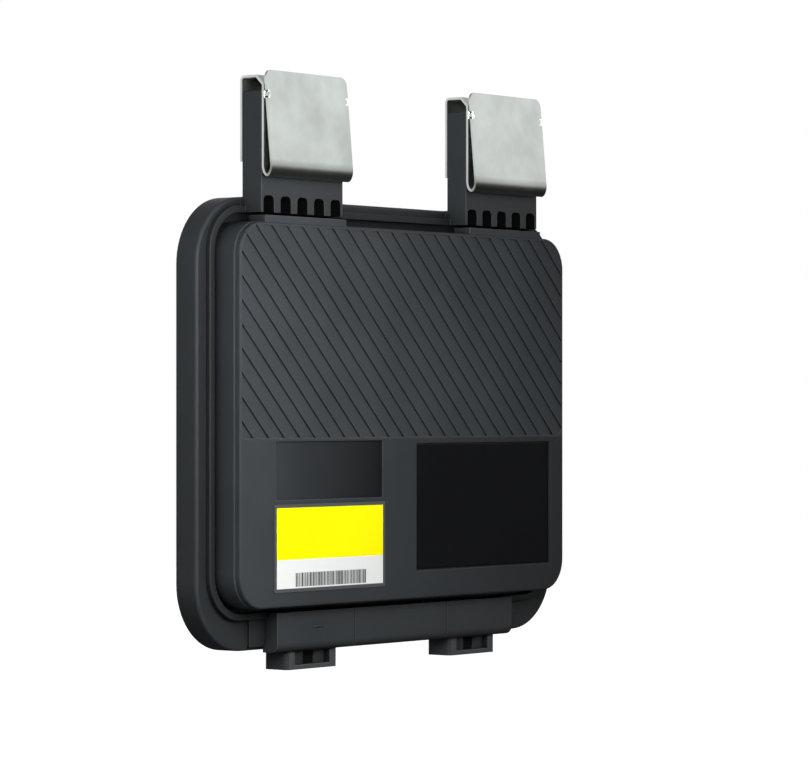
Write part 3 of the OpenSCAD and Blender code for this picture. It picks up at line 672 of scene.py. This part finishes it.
def addStraightClips(values):
    footDepth, footHeight = values["foot"]
    topHeight = values["top"][1]
    notch, lowered = values["notch"], values["lowerNotch"]
    heights = [(footHeight, footHeight), (notch[0], lowered[0]), (notch[1], lowered[1])]

    def bentMiddle(height):
        low, high = ("foot", "crease") if height < values["crease"][1] else ("crease", "top")
        (lowDepth, lowHeight), (highDepth, highHeight) = values[low], values[high]
        return lowDepth + (highDepth - lowDepth) * (height - lowHeight) / (highHeight - lowHeight)

    def straightMiddle(height):
        return footDepth - values["lean"] * (height - footHeight) / (topHeight - footHeight)

    def newHeight(height):
        for (low, newLow), (high, newHigh) in zip(heights, heights[1:]):
            if height <= high + values["hair"]:
                return newLow + (newHigh - newLow) * (height - low) / (high - low)
        return height

    for name, node in values["nodes"].items():
        solid = nodes[node].data
        low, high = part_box(node)
        shape = bmesh.new()
        points = [shape.verts.new(vertex.co) for vertex in solid.vertices]
        for face in solid.polygons:
            shape.faces.new([points[index] for index in face.vertices])
        bmesh.ops.remove_doubles(shape, verts=list(shape.verts), dist=values["weld"])
        for vertex in shape.verts:
            depth, height = -vertex.co.y, vertex.co.z
            if depth > values["behind"] and height > footHeight + values["hair"]:
                level = newHeight(height)
                vertex.co.y = -(straightMiddle(level) + depth - bentMiddle(height))
                vertex.co.z = level
        middle = (lowered[0] + lowered[1]) / 2
        front, rear = straightMiddle(middle), values["toothRear"]
        width, tall = values["tooth"]
        for side in (low[0] + values["toothInset"], high[0] - values["toothInset"]):
            addBlock(shape, (side, -(front + rear) / 2, middle), (width, front - rear, tall))
        mesh = meshOf(name, shape)
        mesh.shade_smooth()
        mesh.set_sharp_from_angle(angle=math.radians(values["sharpAngle"]))
        clip = addPiece(name, mesh, "clipSteel")
        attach(clip, "root")
        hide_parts(node)
    print("straight clips made")


addStraightClips(clipForm)

# Potting that closes the four terminal slots just proud of the flange's rear face, measured from the
# terminals' box: across and up from its low corner, and back from its rear
terminalPotting = {
    "across": (0.0015, 0.0095, 0.0641, 0.0721),
    "width": 0.0038,
    "heights": (-0.00035, 0.00635),
    "depths": (0.00001, 0.00015),
}


def addTerminalPotting(values):
    low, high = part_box("lead_terminals")
    foot, head = values["heights"]
    front, rear = values["depths"]
    shape = bmesh.new()
    for across in values["across"]:
        addBlock(shape, (low[0] + across, high[1] + (front + rear) / 2, low[2] + (foot + head) / 2),
                 (values["width"], rear - front, head - foot))
    potting = addPiece("terminalPotting", meshOf("terminalPotting", shape), "housingPlastic")
    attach(potting, "root")
    print("terminal potting made")


addTerminalPotting(terminalPotting)

# Studio: a pale floor well below, soft lamps and a white surround
studio = {
    "floorDrop": 1.2,
    "floorSize": 40.0,
    "floorTone": 0.6,
    "floorMirrored": 0.15,     # floor's tone where a glossy surface mirrors it
    "floorRough": 0.9,
    "floorGlow": 1.0,          # what it adds where the camera sees it
    "white": (1.0, 1.0, 1.0),
    "ambient": 0.07,
    "mirrored": 1.0,           # surround's strength where a glossy surface mirrors it
    "overhead": 0.2,           # share of the surround's strength straight above
    "overheadSpan": (0.3, 0.85),  # upward share of a direction where it begins to fade and ends
    "lamps": {
        # name: place, aimed at, size, watts, seen in mirrors
        "keyLamp": ((-0.125, -0.17, 0.05), (-0.01, -0.02, 0.0), 0.1, 0.52, True),
        "fillLamp": ((-1.1, -0.35, 0.1), (0.0, 0.0, 0.0), 0.6, 1.9, False),
        "rearLamp": ((0.5, 1.3, 0.3), (0.0, 0.0, 0.0), 1.6, 15.0, False),
        "rightLamp": ((1.3, 0.35, 0.2), (0.0, 0.0, 0.0), 1.2, 13.0, False),
    },
}


def addFloor(values):
    size = values["floorSize"] / 2
    level = cadBox[0][2] - values["floorDrop"]
    corners = [(-size, -size, level), (size, -size, level), (size, size, level), (-size, size, level)]
    mesh = bpy.data.meshes.new("studioFloor")
    mesh.from_pydata(corners, [], [(0, 1, 2, 3)])
    floor = bpy.data.objects.new("studioFloor", mesh)
    scene.collection.objects.link(floor)
    material, tree, shader = newMaterial("paleFloor")
    feed(tree, values["floorRough"], shader.inputs["Roughness"])
    feed(tree, values["white"], shader.inputs["Emission Color"])
    lightPath = addNode(tree, "ShaderNodeLightPath").outputs
    tones = [(values[name],) * 3 for name in ("floorTone", "floorMirrored")]
    feed(tree, blendColours(tree, lightPath["Is Glossy Ray"], *tones), shader.inputs["Base Color"])
    glow = maths(tree, "MULTIPLY", lightPath["Is Camera Ray"], values["floorGlow"])
    feed(tree, glow, shader.inputs["Emission Strength"])
    mesh.materials.append(material)


def addLamps(lamps):
    for name, (place, aim, width, watts, mirrored) in lamps.items():
        data = bpy.data.lights.new(name, "AREA")
        data.shape = "SQUARE"
        data.size = width
        data.energy = watts
        lamp = bpy.data.objects.new(name, data)
        lamp.location = place
        lamp.visible_glossy = mirrored
        lamp.rotation_euler = (Vector(aim) - Vector(place)).to_track_quat("-Z", "Y").to_euler()
        scene.collection.objects.link(lamp)


def addSurround(values):
    world = bpy.data.worlds.new("paleSurround")
    world.use_nodes = True
    scene.world = world
    tree = world.node_tree
    background = tree.nodes["Background"]
    feed(tree, values["white"], background.inputs["Color"])
    lightPath = addNode(tree, "ShaderNodeLightPath").outputs
    direction = splitAxes(tree, addNode(tree, "ShaderNodeTexCoord").outputs["Generated"])
    height = spread(tree, direction["Z"], 1.0, values["overhead"], *values["overheadSpan"])
    level = spread(tree, lightPath["Is Glossy Ray"], values["ambient"], values["mirrored"], 0.0, 1.0)
    strength = maths(tree, "MAXIMUM", maths(tree, "MULTIPLY", height, level), lightPath["Is Camera Ray"])
    feed(tree, strength, background.inputs["Strength"])


addFloor(studio)
addLamps(studio["lamps"])
addSurround(studio)
scene.view_settings.view_transform = "Standard"
print("studio lit")
